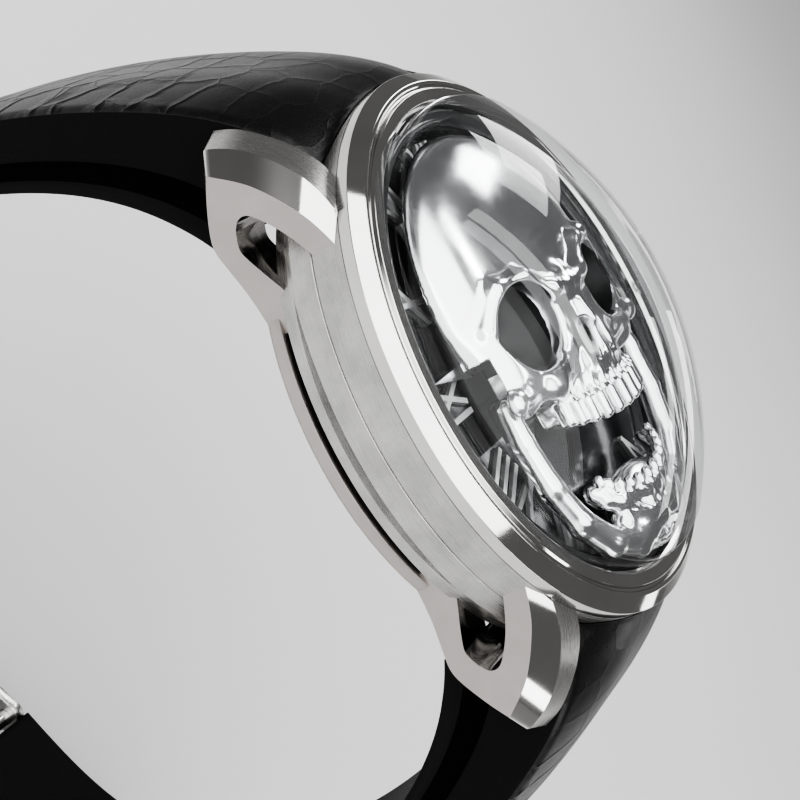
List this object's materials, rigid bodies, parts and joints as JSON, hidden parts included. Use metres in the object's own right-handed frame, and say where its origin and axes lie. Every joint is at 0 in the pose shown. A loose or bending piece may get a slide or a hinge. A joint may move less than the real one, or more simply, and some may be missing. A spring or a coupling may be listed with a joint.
{
  "type": "skeleton wristwatch",
  "caption": "Round wristwatch with a tall domed crystal over a polished skull with a sliding jaw, loop lugs, a display back and a black padded leather strap with a folding clasp.",
  "frame": {"origin": "centre of the case back, on its outer face", "axes": "+Z out of the dial, +Y to 12 o'clock, +X to 3 o'clock, where the crown is"},
  "size_m": [0.0471, 0.0755, 0.0876],
  "materials": {
    "brushed_steel": "circular brushed stainless steel",
    "polished_steel": "mirror polished stainless steel",
    "screw_steel": "polished screws and pins",
    "crystal_clear": "clear domed crystal",
    "gasket_black": "black seal rings",
    "dial_black": "gloss black lacquer",
    "marker_silver": "faceted rhodium strokes",
    "hand_silver": "brushed hands",
    "skull_silver": "mirror polished cast metal",
    "skull_mount": "grained steel carrier",
    "plate_rhodium": "rhodium plated, straight graining",
    "gear_gilt": "gilt wheels",
    "gear_steel": "hardened steel",
    "spring_blue": "blued spring steel",
    "ruby": "polished synthetic ruby",
    "rotor_metal": "grained heavy metal",
    "strap_leather": "black grained leather",
    "lining_leather": "smooth black lining"
  },
  "bodies": {
    "case": {"case_middle": "brushed_steel", "lug_frame_left": "brushed_steel", "lug_frame_right": "brushed_steel", "case_screws": "screw_steel", "bezel": "polished_steel", "crystal": "crystal_clear", "gaskets": "gasket_black", "dial_flange": "dial_black", "caseback_ring": "brushed_steel", "caseback_window": "crystal_clear", "crown_tube": "polished_steel", "mainplate": "plate_rhodium", "train_bridge": "plate_rhodium", "barrel_bridge": "plate_rhodium", "balance_cock": "plate_rhodium", "pallet_bridge": "plate_rhodium", "bridge_screws": "screw_steel", "jewels": "ruby", "movement_ring": "plate_rhodium", "dial_plate": "dial_black", "hour_numerals": "marker_silver", "skull": "skull_silver", "skull_base": "skull_mount", "strap_12_end": "strap_leather", "strap_6_end": "strap_leather", "spring_bars": "screw_steel"},
    "crown_slide": {"crown_gasket": "gasket_black"},
    "crown": {"crown": "polished_steel", "stem": "gear_steel"},
    "winding_pinion": {"winding_pinion": "gear_steel"},
    "crown_wheel": {"crown_wheel": "gear_steel"},
    "ratchet": {"ratchet_wheel": "gear_steel", "barrel_arbor": "gear_steel"},
    "barrel": {"barrel": "gear_gilt", "mainspring": "spring_blue"},
    "great_wheel": {"great_wheel": "gear_gilt"},
    "third_wheel": {"third_wheel": "gear_gilt"},
    "fourth_wheel": {"fourth_wheel": "gear_gilt"},
    "escape_wheel": {"escape_wheel": "gear_steel"},
    "pallet_fork": {"pallet_fork": "gear_steel"},
    "balance": {"balance_wheel": "gear_gilt", "hairspring": "spring_blue"},
    "minute_work": {"cannon_pinion": "gear_steel", "minute_hand": "hand_silver"},
    "minute_wheel": {"minute_wheel": "gear_gilt"},
    "hour_work": {"hour_wheel": "gear_gilt", "hour_hand": "hand_silver"},
    "rotor": {"rotor": "rotor_metal"},
    "jaw": {"jaw": "skull_silver"},
    "strap_12": {"strap_12": "strap_leather", "strap_12_lining": "lining_leather", "clasp_tongue": "brushed_steel", "clasp_bar": "screw_steel"},
    "strap_6": {"strap_6": "strap_leather", "strap_6_lining": "lining_leather", "clasp_base": "brushed_steel", "clasp_pins": "screw_steel"},
    "clasp_cover": {"clasp_cover": "polished_steel"},
    "clasp_button_left": {"clasp_button_left": "polished_steel"},
    "clasp_button_right": {"clasp_button_right": "polished_steel"}
  },
  "joints": [
    {"name": "crown_pull", "type": "slide", "parent": "case", "child": "crown_slide", "axis": [1, 0, 0], "range_m": [0, 0.001]},
    {"name": "crown_turn", "type": "hinge", "parent": "crown_slide", "child": "crown", "pos_m": [0, 0, 0.0049], "axis": [1, 0, 0], "continuous": true},
    {"name": "winding_pinion_turn", "type": "hinge", "parent": "case", "child": "winding_pinion", "pos_m": [0, 0, 0.0049], "axis": [1, 0, 0], "continuous": true},
    {"name": "crown_wheel_turn", "type": "hinge", "parent": "case", "child": "crown_wheel", "pos_m": [0.01082, 0.00352, 0.005], "axis": [0, 0, 1], "continuous": true},
    {"name": "ratchet_turn", "type": "hinge", "parent": "case", "child": "ratchet", "pos_m": [0.00436, 0.00934, 0.005], "axis": [0, 0, 1], "continuous": true},
    {"name": "fourth_wheel_turn", "type": "hinge", "parent": "case", "child": "fourth_wheel", "pos_m": [0.00237, -0.00428, 0.005], "axis": [0, 0, 1], "continuous": true},
    {"name": "third_wheel_turn", "type": "hinge", "parent": "case", "child": "third_wheel", "pos_m": [0.00543, -0.00206, 0.005], "axis": [0, 0, 1], "continuous": true},
    {"name": "great_wheel_turn", "type": "hinge", "parent": "case", "child": "great_wheel", "pos_m": [0.00573, 0.00228, 0.005], "axis": [0, 0, 1], "continuous": true},
    {"name": "barrel_turn", "type": "hinge", "parent": "case", "child": "barrel", "pos_m": [0.00436, 0.00934, 0.005], "axis": [0, 0, 1], "continuous": true},
    {"name": "escape_wheel_turn", "type": "hinge", "parent": "case", "child": "escape_wheel", "pos_m": [0.00016, -0.00658, 0.005], "axis": [0, 0, 1], "continuous": true},
    {"name": "pallet_swing", "type": "hinge", "parent": "case", "child": "pallet_fork", "pos_m": [-0.00277, -0.0076, 0.005], "axis": [0, 0, 1], "range_deg": [-5, 5]},
    {"name": "balance_swing", "type": "hinge", "parent": "case", "child": "balance", "pos_m": [-0.00726, -0.00916, 0.005], "axis": [0, 0, 1], "range_deg": [-140, 140], "stiffness_Nm_per_rad": 0.000001},
    {"name": "minute_turn", "type": "hinge", "parent": "case", "child": "minute_work", "pos_m": [0, 0, 0.008], "axis": [0, 0, -1], "continuous": true},
    {"name": "minute_wheel_turn", "type": "hinge", "parent": "case", "child": "minute_wheel", "pos_m": [-0.00416, 0.0024, 0.007], "axis": [0, 0, -1], "continuous": true},
    {"name": "hour_turn", "type": "hinge", "parent": "case", "child": "hour_work", "pos_m": [0, 0, 0.008], "axis": [0, 0, -1], "continuous": true},
    {"name": "rotor_turn", "type": "hinge", "parent": "case", "child": "rotor", "pos_m": [0, 0, 0.0027], "axis": [0, 0, 1], "continuous": true},
    {"name": "jaw_slide", "type": "slide", "parent": "case", "child": "jaw", "axis": [0, 1, 0], "range_m": [0, 0.0028]},
    {"name": "strap_12_flex", "type": "hinge", "parent": "case", "child": "strap_12", "pos_m": [0, 0.0315, -0.0063], "axis": [1, 0, 0], "range_deg": [0, 25]},
    {"name": "strap_6_flex", "type": "hinge", "parent": "case", "child": "strap_6", "pos_m": [0, -0.0315, -0.0063], "axis": [-1, 0, 0], "range_deg": [0, 6.25]},
    {"name": "clasp_cover_flip", "type": "hinge", "parent": "strap_6", "child": "clasp_cover", "pos_m": [0, -0.00797, -0.06606], "axis": [-1, 0, 0], "range_deg": [0, 115]},
    {"name": "clasp_button_left_press", "type": "slide", "parent": "clasp_cover", "child": "clasp_button_left", "axis": [1, 0, 0], "range_m": [0, 0.0004], "stiffness_N_per_m": 100},
    {"name": "clasp_button_right_press", "type": "slide", "parent": "clasp_cover", "child": "clasp_button_right", "axis": [-1, 0, 0], "range_m": [0, 0.0004], "stiffness_N_per_m": 100}
  ],
  "couplings": [
    {"joint": "winding_pinion_turn", "follows": "crown_turn", "ratio": 1},
    {"joint": "crown_wheel_turn", "follows": "crown_turn", "ratio": -0.36364},
    {"joint": "ratchet_turn", "follows": "crown_turn", "ratio": 0.22222},
    {"joint": "third_wheel_turn", "follows": "fourth_wheel_turn", "ratio": -0.2},
    {"joint": "great_wheel_turn", "follows": "fourth_wheel_turn", "ratio": 0.041667},
    {"joint": "barrel_turn", "follows": "fourth_wheel_turn", "ratio": -0.0083333},
    {"joint": "escape_wheel_turn", "follows": "fourth_wheel_turn", "ratio": -6},
    {"joint": "minute_wheel_turn", "follows": "minute_turn", "ratio": -0.33333},
    {"joint": "hour_turn", "follows": "minute_turn", "ratio": 0.083333},
    {"joint": "strap_6_flex", "follows": "strap_12_flex", "ratio": 0.25},
    {"joint": "clasp_cover_flip", "follows": "strap_12_flex", "ratio": 4.6}
  ]
}
